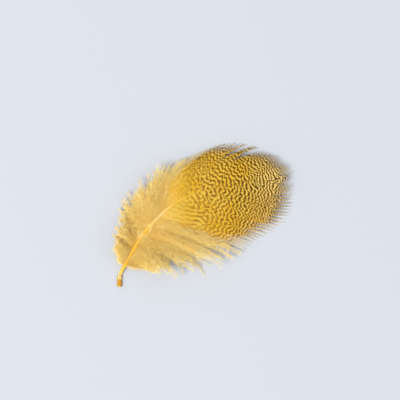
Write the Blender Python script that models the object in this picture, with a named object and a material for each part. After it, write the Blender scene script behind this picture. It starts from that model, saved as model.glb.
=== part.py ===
"""A wood duck flank feather, dyed gold and plucked, lying face up on a table.

Blender units are metres, and +Z is up. +X runs from the quill's end to the tip of the feather, and +Y is
the feather's left. The origin is on the table, under the middle of the feather's box.

A feather grows as one piece, so the model is one closed solid. A ringed shaft is made first. Its side
faces are then extruded: in pairs for the loose downy locks, and in webbed patches for the two vanes,
which part into single fingers near the margin, as the barbs of a real vane do.
"""

import math

import bmesh
import bpy
import numpy as np

MM = 0.001

# Points on the middle line of the shaft, from the quill's end to the tip: x, y and height, in millimetres.
SHAFT_LINE = [
    (0.0, 0.0, 0.7),
    (1.7, 2.8, 0.68),
    (3.6, 4.3, 1.2),
    (9.3, 7.6, 2.9),
    (18.0, 11.8, 5.0),
    (29.6, 14.6, 6.6),
    (41.3, 13.7, 6.9),
    (55.1, 9.4, 5.7),
    (64.4, 4.4, 4.0),
    (73.3, 0.4, 2.1),
]

# The shaft's radius in millimetres, at shares of its length. A dried collar ends the quill.
SHAFT_RADIUS = [
    (0.0, 0.78),
    (0.036, 0.78),
    (0.048, 0.56),
    (0.09, 0.6),
    (0.16, 0.7),
    (0.26, 0.6),
    (0.36, 0.36),
    (0.5, 0.25),
    (0.75, 0.16),
    (1.0, 0.07),
]

# Where barbs end: the share of the shaft they leave from, then the tip's x, y and height in millimetres.
LEFT_TIPS = [
    (0.11, 5.0, 9.5, 1.6),
    (0.15, 6.3, 14.0, 2.0),
    (0.205, 10.5, 20.0, 2.2),
    (0.26, 17.0, 25.5, 2.4),
    (0.312, 26.0, 28.7, 2.6),
    (0.35, 34.0, 28.6, 2.2),
    (0.4, 43.0, 26.6, 1.2),
    (0.45, 51.0, 25.2, 0.3),
    (0.5, 57.0, 23.8, 0.15),
    (0.56, 62.6, 20.6, 0.2),
    (0.615, 67.0, 16.0, 0.5),
    (0.65, 70.6, 10.8, 0.9),
    (0.7, 72.2, 7.8, 1.2),
    (0.78, 73.2, 5.2, 1.5),
    (0.86, 73.8, 3.2, 1.8),
    (0.93, 74.0, 1.9, 2.0),
    (0.97, 73.9, 1.0, 2.1),
]
RIGHT_TIPS = [
    (0.11, 10.0, 1.5, 1.4),
    (0.148, 14.0, -4.0, 1.6),
    (0.191, 19.5, -8.8, 1.8),
    (0.233, 27.0, -11.5, 2.0),
    (0.286, 35.0, -12.5, 2.0),
    (0.338, 42.0, -12.3, 1.6),
    (0.4, 47.5, -11.5, 0.8),
    (0.45, 52.0, -11.2, 0.2),
    (0.5, 56.0, -10.4, 0.15),
    (0.56, 60.0, -9.2, 0.2),
    (0.62, 63.4, -7.6, 0.4),
    (0.69, 66.6, -5.6, 0.8),
    (0.76, 69.2, -3.8, 1.1),
    (0.83, 71.2, -2.2, 1.4),
    (0.9, 72.7, -1.0, 1.7),
    (0.94, 73.3, -0.4, 1.9),
    (0.97, 73.6, 0.0, 2.0),
]

# The angle between a barb and the shaft where it leaves, in degrees, at shares of the shaft's length.
LEAVING_ANGLE = [(0.1, 66.0), (0.4, 60.0), (0.7, 52.0), (0.97, 24.0)]
BARB_REACH = 0.5  # how far a barb runs straight on as it leaves, as a share of its root-to-tip distance

# Shares of the shaft's length where the bare quill, the downy base and the vanes begin and end
QUILL_RINGS = [0.0, 0.036, 0.048, 0.065, 0.085]
DOWN_START, VANE_START, VANE_END = 0.11, 0.4, 0.97
DOWNY_LOCKS, VANE_STRIPS = 18, 22  # on each side
SHAFT_SIDES = 8  # turned so that one flat side faces each vane and one the table

# The downy locks: columns along a lock, its half thickness in millimetres, and how far its layers part
LOCK_COLUMNS = 8
LOCK_MIDDLE, LOCK_EDGE = 0.62, 0.16
LOCK_LAYERS = [(5.2, 6.0), (-1.2, -1.8), (1.8, 2.2)]  # height added halfway along, and at the tip
LOCK_WIDTH, LOCK_POINT = 0.8, 0.05  # a lock's width at root and tip, as shares of its part of the shaft
LOCK_SWELL = 0.4  # how much wider a loose lock is halfway along
LOCK_ROOT_THICKNESS, LOCK_THINNING = 0.25, 0.6  # shares of it kept at the root, and lost by the tip
LOCK_WAVE, LOCK_WAVES = 0.45, 1.6
CALMED_LOCKS, SHORT_LOCKS = 5, 4  # those next to the vane and to the quill, which lie flatter

# The vanes: columns along a strip, its half thickness at the shaft and at the tip, and where it parts
STRIP_COLUMNS = 10
STRIP_ROOT, STRIP_TIP = 0.26, 0.13
WEBBED_SHARE = 0.78  # of a barb's length, beyond which each strip is a finger of its own
WEBBED_WIDTH, FINGER_ROOT, FINGER_TIP = 0.97, 0.9, 0.22  # widths as shares of the strip's own
SPLITS = {1: {9: 0.42, 11: 0.45}, -1: {7: 0.6, 14: 0.62}}  # side: {strip: share where it parts from the last}

HOLLOW_RADIUS, HOLLOW_DEPTH = 0.34, 1.4  # the open end of the quill, in millimetres

FINE_STEPS, POINT_STEP = 2001, 0.02  # for measuring along the shaft's curve and finding its direction
SHARP_EDGE = 50  # degrees, above which an edge is shaded sharp
GOLD = (0.72, 0.44, 0.1, 1.0)


def smooth_curve(points, at):
    """Points on the smooth curve through the given ones (Catmull-Rom), at positions counted in points."""
    points = np.asarray(points, float)
    first = 2 * points[0] - points[1]
    last = 2 * points[-1] - points[-2]
    padded = np.vstack([first, points, last])
    at = np.atleast_1d(np.asarray(at, float))
    start = np.clip(np.floor(at).astype(int), 0, len(points) - 2)
    f = (at - start)[:, None]
    a, b, c, d = (padded[start + i] for i in range(4))
    return 0.5 * (2 * b + (c - a) * f + (2 * a - 5 * b + 4 * c - d) * f**2 + (3 * b - 3 * c + d - a) * f**3)


def shaft_frame(share):
    """The shaft's middle, its forward direction and its left direction, at a share of its length."""
    last = len(SHAFT_LINE) - 1
    positions = np.linspace(0, last, FINE_STEPS)
    line = smooth_curve(SHAFT_LINE, positions)
    lengths = np.concatenate([[0], np.cumsum(np.linalg.norm(np.diff(line, axis=0), axis=1))])
    at = np.interp(share, lengths / lengths[-1], positions)
    ends = smooth_curve(SHAFT_LINE, [max(at - POINT_STEP, 0), min(at + POINT_STEP, last)])
    forward = (ends[1] - ends[0]) / np.linalg.norm(ends[1] - ends[0])
    left = np.array([-forward[1], forward[0], 0])
    return smooth_curve(SHAFT_LINE, at)[0], forward, left / np.linalg.norm(left)


def shaft_radius(share):
    shares, radii = zip(*SHAFT_RADIUS)
    return np.interp(share, shares, radii)


def barb_point(side, share, along, lift=(0.0, 0.0)):
    """A point on the barb that leaves one side (1 left, -1 right) of the shaft at a share of its length.

    The barb is a quadratic Bezier curve from the shaft's surface to its tip. lift raises its bend and tip.
    """
    middle, forward, left = shaft_frame(share)
    root = middle + side * left * shaft_radius(share) * math.cos(math.pi / SHAFT_SIDES)
    tips = np.array(LEFT_TIPS if side > 0 else RIGHT_TIPS)
    at = np.interp(share, tips[:, 0], np.arange(len(tips)))
    tip = smooth_curve(tips[:, 1:], at)[0] + np.array([0, 0, lift[1]])
    shares, angles = zip(*LEAVING_ANGLE)
    angle = math.radians(np.interp(share, shares, angles))
    leaving = math.cos(angle) * forward + math.sin(angle) * side * left
    bend = root + leaving * BARB_REACH * np.linalg.norm(tip - root)
    bend[2] = root[2] + lift[0]
    return (1 - along) ** 2 * root + 2 * along * (1 - along) * bend + along**2 * tip


def ring_shares():
    """The shares of the shaft's length at its rings, and the numbers of the first downy and first vane ring."""
    down = np.linspace(DOWN_START, VANE_START, 2 * DOWNY_LOCKS + 1)
    vane = np.linspace(VANE_START, VANE_END, VANE_STRIPS + 1)[1:]
    shares = [*QUILL_RINGS, *down, *vane, 1.0]
    return shares, len(QUILL_RINGS), len(QUILL_RINGS) + 2 * DOWNY_LOCKS


def build_shaft(bm, shares):
    """Lofts the shaft through one ring of vertices at each share, and caps both ends.

    Each ring stands upright, so that the two corners a barb grows from lie straight above each other.
    Returns the side faces as {(side, interval): face}. The vertices carry their ring number and level, 1 for
    upper and 0 for lower, in layers that extruding copies, so that each new vertex knows where it belongs.
    """
    ring_layer = bm.verts.layers.int.new("ring")
    level_layer = bm.verts.layers.int.new("level")
    rings = []
    for number, share in enumerate(shares):
        middle, forward, left = shaft_frame(share)
        radius = shaft_radius(share)
        ring = []
        for corner in range(SHAFT_SIDES):
            turn = 2 * math.pi * (corner + 0.5) / SHAFT_SIDES
            place = middle + radius * math.cos(turn) * left
            place[2] = max(middle[2] + radius * math.sin(turn), 0.0)
            vertex = bm.verts.new(place * MM)
            vertex[ring_layer] = number
            vertex[level_layer] = int(math.sin(turn) > 0)
            ring.append(vertex)
        rings.append(ring)
    side_faces = {}
    for number, (here, following) in enumerate(zip(rings, rings[1:])):
        for corner in range(SHAFT_SIDES):
            after = (corner + 1) % SHAFT_SIDES
            face = bm.faces.new([here[corner], following[corner], following[after], here[after]])
            if corner == SHAFT_SIDES - 1:
                side_faces[1, number] = face
            if corner == SHAFT_SIDES // 2 - 1:
                side_faces[-1, number] = face
    quill_end = bm.faces.new(rings[0])
    bm.faces.new(reversed(rings[-1]))
    bmesh.ops.recalc_face_normals(bm, faces=bm.faces)
    return side_faces, quill_end


def hollow_quill(bm, quill_end):
    """Sinks the small round opening in the plucked end of the quill."""
    rim = (shaft_radius(0) - HOLLOW_RADIUS) * MM
    bmesh.ops.inset_region(bm, faces=[quill_end], thickness=rim, use_even_offset=True)
    pit = bmesh.ops.extrude_discrete_faces(bm, faces=[quill_end])["faces"][0]
    inwards = shaft_frame(0)[1] * HOLLOW_DEPTH * MM
    bmesh.ops.translate(bm, verts=pit.verts, vec=inwards)


def extrude_patch(bm, faces, place):
    """Extrudes touching faces as one patch, moves each new vertex to place(ring, level), and returns them."""
    ring_layer = bm.verts.layers.int["ring"]
    level_layer = bm.verts.layers.int["level"]
    grown = bmesh.ops.extrude_face_region(bm, geom=faces)["geom"]
    bmesh.ops.delete(bm, geom=[face for face in faces if face.is_valid], context="FACES_ONLY")
    for vertex in (item for item in grown if isinstance(item, bmesh.types.BMVert)):
        vertex.co = place(vertex[ring_layer], vertex[level_layer]) * MM
    return [item for item in grown if isinstance(item, bmesh.types.BMFace)]


def above_table(point, half_thickness, level):
    """The upper or lower surface of a thin piece whose middle is at point, kept on the table."""
    height = max(point[2], half_thickness)
    return np.array([point[0], point[1], height + (half_thickness if level else -half_thickness)])


def grow_lock(bm, faces, side, first_ring, shares, number):
    """Extrudes one downy lock from two side faces: a lens-shaped tuft that swells, waves and tapers."""
    loose = min(1, (DOWNY_LOCKS - number) / CALMED_LOCKS, (number + 1) / SHORT_LOCKS)
    lift = [loose * height for height in LOCK_LAYERS[number % len(LOCK_LAYERS)]]
    middle_share = shares[first_ring + 1]
    for column in range(1, LOCK_COLUMNS + 1):
        along = column / LOCK_COLUMNS
        swell = math.sin(math.pi * along)
        width = LOCK_POINT + (1 - along**2) * (LOCK_WIDTH + LOCK_SWELL * loose * swell**2)
        thinning = 1 - LOCK_THINNING * along
        thickness = thinning * (LOCK_ROOT_THICKNESS + (1 - LOCK_ROOT_THICKNESS) * swell)
        wave = LOCK_WAVE * loose * along * math.sin(2 * math.pi * LOCK_WAVES * along + number)

        def place(ring, level):
            middle = barb_point(side, middle_share, along, lift)
            edge = barb_point(side, shares[ring], along, lift)
            point = middle + (edge - middle) * width
            point[2] += wave
            thickest = LOCK_MIDDLE if ring == first_ring + 1 else LOCK_EDGE
            return above_table(point, thickest * thickness, level)

        faces = extrude_patch(bm, faces, place)


def strip_groups(strips, side, along):
    """The runs of neighbouring strips that are still webbed together at a share of the barbs' length."""
    groups = []
    for number in strips:
        parts_at = SPLITS[side].get(number, WEBBED_SHARE)
        if groups and along <= parts_at:
            groups[-1].append(number)
        else:
            groups.append([number])
    return groups


def grow_vane(bm, faces, side, first_ring, shares):
    """Extrudes one vane from its side faces, {strip: face}, a column at a time.

    Webbed strips are extruded as one patch and share their edges. A strip on its own narrows to a finger.
    """
    ring_layer = bm.verts.layers.int["ring"]
    for column in range(1, STRIP_COLUMNS + 1):
        along = column / STRIP_COLUMNS
        half_thickness = STRIP_ROOT + (STRIP_TIP - STRIP_ROOT) * along
        narrowing = max(0.0, (along - WEBBED_SHARE) / (1 - WEBBED_SHARE))
        edge_width = WEBBED_WIDTH if column == 1 else FINGER_ROOT + (FINGER_TIP - FINGER_ROOT) * narrowing
        for group in strip_groups(sorted(faces), side, along):
            first, last = first_ring + group[0], first_ring + group[-1] + 1

            def place(ring, level):
                point = barb_point(side, shares[ring], along)
                if ring in (first, last):
                    neighbour = ring + 1 if ring == first else ring - 1
                    middle = barb_point(side, (shares[ring] + shares[neighbour]) / 2, along)
                    point = middle + (point - middle) * edge_width
                return above_table(point, half_thickness, level)

            grown = extrude_patch(bm, [faces[number] for number in group], place)
            for face in grown:
                faces[min(vertex[ring_layer] for vertex in face.verts) - first_ring] = face


def build_feather():
    """The whole feather as one mesh object, with its origin on the table under the middle of its box."""
    mesh = bpy.data.meshes.new("feather")
    feather = bpy.data.objects.new("feather", mesh)
    bpy.context.scene.collection.objects.link(feather)
    bm = bmesh.new()
    shares, first_down, first_vane = ring_shares()
    side_faces, quill_end = build_shaft(bm, shares)
    hollow_quill(bm, quill_end)
    for side in (1, -1):
        for number in range(DOWNY_LOCKS):
            ring = first_down + 2 * number
            pair = [side_faces[side, ring], side_faces[side, ring + 1]]
            grow_lock(bm, pair, side, ring, shares, number)
        strips = {number: side_faces[side, first_vane + number] for number in range(VANE_STRIPS)}
        grow_vane(bm, strips, side, first_vane, shares)
    bmesh.ops.recalc_face_normals(bm, faces=bm.faces)
    corners = np.array([vertex.co for vertex in bm.verts])
    middle = (corners.min(axis=0) + corners.max(axis=0)) / 2
    bmesh.ops.translate(bm, verts=bm.verts, vec=(-middle[0], -middle[1], -corners[:, 2].min()))
    bm.to_mesh(mesh)
    bm.free()
    mesh.shade_smooth()
    mesh.set_sharp_from_angle(angle=math.radians(SHARP_EDGE))
    return feather


def keratin(name, colour):
    """The dyed, slightly silky surface of the whole feather."""
    material = bpy.data.materials.new(name)
    material.use_nodes = True
    shader = material.node_tree.nodes["Principled BSDF"]
    shader.inputs["Base Color"].default_value = colour
    shader.inputs["Roughness"].default_value = 0.6
    shader.inputs["Metallic"].default_value = 0.0
    return material


def main():
    for old in list(bpy.data.objects):
        bpy.data.objects.remove(old)
    feather = build_feather()
    feather.data.materials.append(keratin("dyed_keratin", GOLD))


main()
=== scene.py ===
# %% [markdown]
# A dyed duck flank feather. The real one is a single growth of horn: a quill, a shaft that tapers to
# nothing, loose down round its base and, further up, two vanes of barbs hooked into a thin web.
# Every piece here is worked out on whole numpy arrays and put into a mesh in one go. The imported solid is
# loaded first, because it fixes the size, the place and the space that each new piece may fill.

# %% Load the solid feather
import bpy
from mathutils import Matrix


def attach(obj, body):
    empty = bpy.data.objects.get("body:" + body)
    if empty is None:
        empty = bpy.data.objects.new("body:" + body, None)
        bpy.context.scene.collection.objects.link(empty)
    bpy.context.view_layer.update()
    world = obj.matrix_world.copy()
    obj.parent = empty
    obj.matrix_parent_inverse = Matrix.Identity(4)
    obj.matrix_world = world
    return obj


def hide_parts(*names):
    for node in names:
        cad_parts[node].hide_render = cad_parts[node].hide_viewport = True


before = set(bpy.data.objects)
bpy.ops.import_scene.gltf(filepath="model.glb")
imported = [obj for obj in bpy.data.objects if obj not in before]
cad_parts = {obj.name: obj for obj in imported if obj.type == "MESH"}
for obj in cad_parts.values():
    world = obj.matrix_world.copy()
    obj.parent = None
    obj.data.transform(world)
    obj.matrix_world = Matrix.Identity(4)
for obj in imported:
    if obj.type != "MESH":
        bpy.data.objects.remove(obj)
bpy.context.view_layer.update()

import copy
import math

import bpy
import numpy as np

MM = 0.001
UP = np.array([0.0, 0.0, 1.0])
ROLL = math.radians(31.34)  # how far the photo is turned from the feather's own axes
PHOTO_RIGHT = np.array([math.cos(ROLL), -math.sin(ROLL), 0.0])
PHOTO_UP = np.array([math.sin(ROLL), math.cos(ROLL), 0.0])

# %% [markdown]
# The shaft is the line that everything grows from, so it comes first. It could be a Blender curve, but the
# barbs need its place and direction at thousands of spots, and a table of a smooth curve gives them all in
# one call. Lengths are in millimetres, counted from the plucked end of the quill, as on the solid. Changes
# over the feather are gentle, so most of them are ramps between two places.

# %% Curves, tables and gentle steps
def unit(vectors):
    """Each vector divided by its own length."""
    return vectors / np.maximum(np.linalg.norm(vectors, axis=-1, keepdims=True), 1e-12)


def turned(angle, first, second):
    """The direction at an angle between two others: cos(angle) first + sin(angle) second."""
    return np.cos(angle)[..., None] * first + np.sin(angle)[..., None] * second


def smooth_curve(points, at):
    """Points on the smooth curve through the given ones, at positions counted in points (Catmull-Rom).

    Between two points the curve is a cubic whose slope at each is half the step between its neighbours.
    """
    points = np.asarray(points, float)
    padded = np.vstack([2 * points[0] - points[1], points, 2 * points[-1] - points[-2]])
    at = np.asarray(at, float)
    start = np.clip(np.floor(at).astype(int), 0, len(points) - 2)
    f = (at - start)[..., None]
    a, b, c, d = (padded[start + i] for i in range(4))
    return 0.5 * (2 * b + (c - a) * f + (2 * a - 5 * b + 4 * c - d) * f**2 + (3 * b - 3 * c + d - a) * f**3)


def lookup(share, shares, values):
    """Linear interpolation of each column of values, for shares of any shape."""
    values = np.asarray(values, float)
    return np.stack([np.interp(share, shares, column) for column in values.T], -1)


def smoothstep(low, high, x):
    """0 at low, 1 at high, an S-shaped change between them, and level beyond."""
    t = np.clip((x - low) / (high - low), 0, 1)
    return t * t * (3 - 2 * t)


def ramp(change, x):
    """A change is (first, last, low, high): first + (last - first) * smoothstep(low, high, x)."""
    first, last, low, high = change
    return first + (last - first) * smoothstep(low, high, x)


print("a gentle step is", smoothstep(0, 1, np.array([0.0, 0.25, 0.5, 0.75, 1.0])).round(2))

# %% The line of the shaft
SHAFT_LINE = [
    (0.0, 0.0, 0.7),
    (1.7, 2.8, 0.68),
    (3.6, 4.3, 1.2),
    (9.3, 7.6, 2.9),
    (18.0, 11.8, 5.0),
    (29.6, 14.6, 6.6),
    (41.3, 13.7, 6.9),
    (55.1, 9.4, 5.7),
    (64.4, 4.4, 4.0),
    (73.3, 0.4, 2.1),
]
SHAFT_RADIUS = [
    (0.0, 0.78),
    (0.036, 0.78),
    (0.048, 0.56),
    (0.09, 0.6),
    (0.16, 0.7),
    (0.26, 0.6),
    (0.36, 0.36),
    (0.5, 0.25),
    (0.75, 0.16),
    (1.0, 0.07),
]
FINE_STEPS = 4001

fine_line = smooth_curve(SHAFT_LINE, np.linspace(0, len(SHAFT_LINE) - 1, FINE_STEPS))
fine_share = np.concatenate([[0], np.cumsum(np.linalg.norm(np.diff(fine_line, axis=0), axis=1))])
SHAFT_LENGTH = fine_share[-1]
fine_share /= SHAFT_LENGTH
fine_forward = unit(np.gradient(fine_line, axis=0))
fine_left = unit(np.stack([-fine_forward[:, 1], fine_forward[:, 0], 0 * fine_forward[:, 0]], -1))


def shaft_radius(share):
    """The shaft's radius at shares of its length."""
    shares, radii = zip(*SHAFT_RADIUS)
    return np.interp(share, shares, radii)


def shaft_frame(share):
    """The shaft's middle, and its directions forward and to the left, at shares of its length."""
    return [lookup(share, fine_share, table) for table in (fine_line, fine_forward, fine_left)]


print(f"shaft: {SHAFT_LENGTH:.1f} mm long, {2 * shaft_radius(0.16):.1f} mm thick at the base")

# %% [markdown]
# The solid is centred on its own box, while the numbers here start at the quill. One corner that both know,
# the quill end's outermost one, gives the step between the two.

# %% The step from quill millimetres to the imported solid
SHAFT_SIDES = 8  # of the solid
SIDE_REACH = math.cos(math.pi / SHAFT_SIDES)  # how far its outermost corners lie to a side, per radius
quill_corner = (fine_line[0] + shaft_radius(0) * SIDE_REACH * fine_left[0])[:2]
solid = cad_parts["feather"].data
solid_corners = np.zeros(3 * len(solid.vertices), np.float32)
solid.vertices.foreach_get("co", solid_corners)
solid_corners = solid_corners.reshape(-1, 3) / MM
outermost = solid_corners[np.argmin(solid_corners[:, 0])]
TO_SOLID = np.array([*(outermost[:2] - quill_corner), 0.0])
print("step to the solid's frame:", TO_SOLID.round(2), "mm")

# %% [markdown]
# Each barb leaves the shaft at a steep angle and bends over towards the tip of the feather. A quadratic
# Bezier curve does this with three points: root, bend and tip. The tips of a few barbs are listed along
# the feather's outline and the rest are read between them, so neighbours never disagree.

# %% The path of a barb
LEFT_TIPS = [
    (0.11, 5.0, 9.5, 1.6),
    (0.15, 6.3, 14.0, 2.0),
    (0.205, 10.5, 20.0, 2.2),
    (0.26, 17.0, 25.5, 2.4),
    (0.312, 26.0, 28.7, 2.6),
    (0.35, 34.0, 28.6, 2.2),
    (0.4, 43.0, 26.6, 1.2),
    (0.45, 51.0, 25.2, 0.3),
    (0.5, 57.0, 23.8, 0.15),
    (0.56, 62.6, 20.6, 0.2),
    (0.615, 67.0, 16.0, 0.5),
    (0.65, 70.6, 10.8, 0.9),
    (0.7, 72.2, 7.8, 1.2),
    (0.78, 73.2, 5.2, 1.5),
    (0.86, 73.8, 3.2, 1.8),
    (0.93, 74.0, 1.9, 2.0),
    (0.97, 73.9, 1.0, 2.1),
]
RIGHT_TIPS = [
    (0.11, 10.0, 1.5, 1.4),
    (0.148, 14.0, -4.0, 1.6),
    (0.191, 19.5, -8.8, 1.8),
    (0.233, 27.0, -11.5, 2.0),
    (0.286, 35.0, -12.5, 2.0),
    (0.338, 42.0, -12.3, 1.6),
    (0.4, 47.5, -11.5, 0.8),
    (0.45, 52.0, -11.2, 0.2),
    (0.5, 56.0, -10.4, 0.15),
    (0.56, 60.0, -9.2, 0.2),
    (0.62, 63.4, -7.6, 0.4),
    (0.69, 66.6, -5.6, 0.8),
    (0.76, 69.2, -3.8, 1.1),
    (0.83, 71.2, -2.2, 1.4),
    (0.9, 72.7, -1.0, 1.7),
    (0.94, 73.3, -0.4, 1.9),
    (0.97, 73.6, 0.0, 2.0),
]
LEAVING_ANGLE = [(0.1, 66.0), (0.4, 60.0), (0.7, 52.0), (0.97, 24.0)]
BARB_REACH = 0.5  # how far a barb runs straight on as it leaves, as a share of its root-to-tip distance
SIDES = {1: "left", -1: "right"}


def barb_points(side, share, along, bend_lift=0.0, tip_lift=0.0):
    """Points on the barbs of one side, for arrays of roots and of positions along them.

    With t from 0 at the root to 1 at the tip, a point is (1-t)^2 root + 2t(1-t) bend + t^2 tip. The bend
    lies straight ahead of the root, level with it. The two lifts raise the bend and the tip.
    """
    share, along = np.broadcast_arrays(share, along)
    middle, forward, left = shaft_frame(share)
    root = middle + side * left * (SIDE_REACH * shaft_radius(share))[..., None]
    table = np.array(LEFT_TIPS if side > 0 else RIGHT_TIPS)
    tip = smooth_curve(table[:, 1:], np.interp(share, table[:, 0], np.arange(len(table))))
    tip[..., 2] += tip_lift
    angle = np.radians(np.interp(share, *zip(*LEAVING_ANGLE)))
    leaving = turned(angle, forward, side * left)
    bend = root + leaving * BARB_REACH * np.linalg.norm(tip - root, axis=-1, keepdims=True)
    bend[..., 2] = root[..., 2] + bend_lift
    t = along[..., None]
    return (1 - t) ** 2 * root + 2 * t * (1 - t) * bend + t**2 * tip


for side, word in SIDES.items():
    reach = np.linalg.norm(barb_points(side, 0.5, 1.0) - barb_points(side, 0.5, 0.0))
    print(f"a {word} barb from the middle of the shaft reaches {reach:.1f} mm")

# %% [markdown]
# Barbs, barbules and the shaft are all strands: a small cross-section carried along a path. Thousands of
# separate curve objects would be slow and would not export, so a few functions lay all the strands of a
# piece in one array, as closed tubes or as slim solids with a point, and one more puts the arrays into a
# mesh with its values.

# %% Strands as closed solids
def strand_frame(paths, across):
    """Each strand's own directions: along it, across, made square to that, and up, square to both."""
    along = unit(np.gradient(paths, axis=-2))
    across = unit(across - along * np.sum(across * along, axis=-1, keepdims=True))
    up = np.cross(across, along)
    return along, across, up if up[..., 2].mean() > 0 else -up


def stay_above(height, points):
    """Raises, in place, all points that lie lower than a height."""
    points[..., 2] = np.maximum(points[..., 2], height)


def strand_corners(paths, across, up, half_width, half_thickness, corners):
    """Corners of the tubes, with shape (strand, ring, corner, 3).

    Corner k lies at the turn 2 pi k / corners: its cosine counts across, times the half width, and its
    sine counts up, times the half thickness.
    """
    turn = 2 * np.pi * np.arange(corners) / corners
    wide, thick = half_width[..., None] * across, half_thickness[..., None] * up
    return paths[..., None, :] + turned(turn, wide[..., None, :], thick[..., None, :])


def pointed_corners(paths, first, sideways, radius):
    """Three corners round each place on short paths but the last, which stays a single point.

    All rings are square to the path's first direction, which will do for hairs with one bend or none.
    """
    upward = unit(np.cross(first, sideways))
    ring = turned(2 * np.pi * np.arange(3) / 3, sideways[..., None, :], upward[..., None, :])
    rings = paths[..., :-1, None, :] + radius[..., None, None] * ring[..., None, :, :]
    return np.concatenate([rings.reshape(*rings.shape[:-3], -1, 3), paths[..., -1:, :]], -2)


def strand_faces(count, rings, corners, pointed=False):
    """The four-sided faces round each strand, and its ends: a face at each, or a fan to a point and a foot.

    A pointed strand has three corners a ring, and its point comes after them as one more corner.
    """
    ring = np.arange(rings - 1)[:, None] * corners
    corner = np.arange(corners)
    after = (corner + 1) % corners
    around = np.stack([ring + corner, ring + after, ring + corners + after, ring + corners + corner], -1)
    last = (rings - 1) * corners
    foot = corner[::-1][None]
    if pointed:
        fan = np.stack([last + corner, last + after, np.full(corners, last + corners)], -1)
        ends = np.vstack([fan, foot])
    else:
        ends = np.vstack([foot, last + corner])
    first = np.arange(count)[:, None, None] * (rings * corners + pointed)
    groups = [group for group in (around.reshape(-1, 4), ends) if len(group)]
    return [(group + first).reshape(-1, group.shape[1]) for group in groups]


def turned_outward(points, faces):
    """The same faces, with their corners reversed if the volume they enclose comes out negative.

    The volume is the sum of a . (b x c) / 6 over the triangles, which is positive for outward faces.
    """
    volume = 0.0
    for group in faces:
        a = points[group[:, 0]]
        for k in range(1, group.shape[1] - 1):
            volume += np.einsum("ij,ij->", a, np.cross(points[group[:, k]], points[group[:, k + 1]])) / 6
    return faces if volume > 0 else [group[:, ::-1] for group in faces]


print("a tube of 3 rings with 4 corners has", sum(map(len, strand_faces(1, 3, 4))), "faces")

# %% Arrays into meshes
def spread(value, points):
    """One value for each point, from one for each ring or each strand, in the same order."""
    return np.repeat(value.ravel(), len(points) // value.size)


def flat_places(count, across, along):
    """Places on the flat map: strand n has u = (n + across) / count and v = along."""
    u = (np.arange(count)[:, None, None] + across) / count
    return np.stack(np.broadcast_arrays(u, along), -1).reshape(-1, 2)


def make_piece(name, points, faces, values, flat_map, smooth=False):
    """A mesh object from arrays: points in quill millimetres, faces by size, and values for the finish."""
    points = points.reshape(-1, 3)
    faces = turned_outward(points, faces)
    mesh = bpy.data.meshes.new(name)
    mesh.vertices.add(len(points))
    mesh.vertices.foreach_set("co", ((points + TO_SOLID) * MM).astype(np.float32).ravel())
    loops = np.concatenate([group.ravel() for group in faces]).astype(np.int32)
    sizes = np.concatenate([np.full(len(group), group.shape[1]) for group in faces])
    mesh.loops.add(len(loops))
    mesh.loops.foreach_set("vertex_index", loops)
    mesh.polygons.add(len(sizes))
    mesh.polygons.foreach_set("loop_start", (np.cumsum(sizes) - sizes).astype(np.int32))
    mesh.update(calc_edges=True)
    for key, value in values.items():
        carried = mesh.attributes.new(key, "FLOAT", "POINT").data
        carried.foreach_set("value", spread(value, points).astype(np.float32))
    places = mesh.uv_layers.new(name="OFBake")
    places.data.foreach_set("uv", flat_map[loops].astype(np.float32).ravel())
    mesh.polygons.foreach_set("use_smooth", np.full(len(sizes), smooth))
    piece = bpy.data.objects.new(name, mesh)
    bpy.context.scene.collection.objects.link(piece)
    print(f"{name}: {int((sizes - 2).sum())} triangles")
    return piece


def both_sides(make, ending):
    """The left and the right piece that one function makes."""
    return [make(side, f"{word}_{ending}") for side, word in SIDES.items()]


print("every piece has a flat map named OFBake")

# %% [markdown]
# The fine dark bars are laid down as each barb grows, by pigment cells that excite their close neighbours
# and inhibit far ones. The same rule is easy to run on a grid: keep only waves of one pitch, squash the
# result towards dark or light, and repeat. Stripes with forks, chevrons and dead ends come out of it. The
# start decides how orderly they are: arcs round a point near the middle of the feather, and noise.

# %% Bars grown from noise
BAR_PITCH = 1.4
BAR_CELL = 0.12
BAR_AREA = (4.0, 86.0, -26.0, 46.0)  # x from, x to, y from, y to
BAR_FOCUS = np.array([36.7, 13.5])  # the arcs bulge away from here
BAR_ROUNDS = 4
RING_WIDTH = 0.36  # how far the kept waves may stray from the pitch, as a share
SWIRL, SHIVER = (5.5, 0.5), (2.4, 0.3)  # the width of a wobble of the arcs and how far it moves them, in mm
ORDER = (0.55, 1.0, 4.0, 16.0)  # the arcs' weight by mm from the focus
ROUGH, ROUGH_TOTAL = 0.8, 1.1  # the noise has the weight rough * (total - order)
SQUASH = 1.6
SEED = 11


def grow_bars():
    """The grid of bar values from -1, light, to 1, dark, all with the same pitch."""
    x0, x1, y0, y1 = BAR_AREA
    x = np.arange(x0, x1, BAR_CELL)[:, None]
    y = np.arange(y0, y1, BAR_CELL)[None, :]
    waves = np.hypot(np.fft.fftfreq(x.size, BAR_CELL)[:, None], np.fft.rfftfreq(y.size, BAR_CELL)[None, :])
    noise = np.random.default_rng(SEED).standard_normal((3, x.size, y.size))

    def evened(field, filter_shape):
        kept = np.fft.irfft2(np.fft.rfft2(field) * filter_shape, s=field.shape)
        return kept / kept.std()

    distance = np.hypot(x - BAR_FOCUS[0], y - BAR_FOCUS[1])
    moved = distance
    for field, (width, most) in zip(noise, (SWIRL, SHIVER)):
        moved = moved + most * evened(field, np.exp(-((waves * width) ** 2)))
    arcs = np.cos(2 * np.pi * moved / BAR_PITCH)
    pitch_ring = np.exp(-(((waves * BAR_PITCH - 1) / RING_WIDTH) ** 2))
    order = ramp(ORDER, distance)
    field = order * arcs + ROUGH * (ROUGH_TOTAL - order) * evened(noise[2], pitch_ring)
    for _ in range(BAR_ROUNDS):
        field = np.tanh(SQUASH * evened(field, pitch_ring))
    return field


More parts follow.
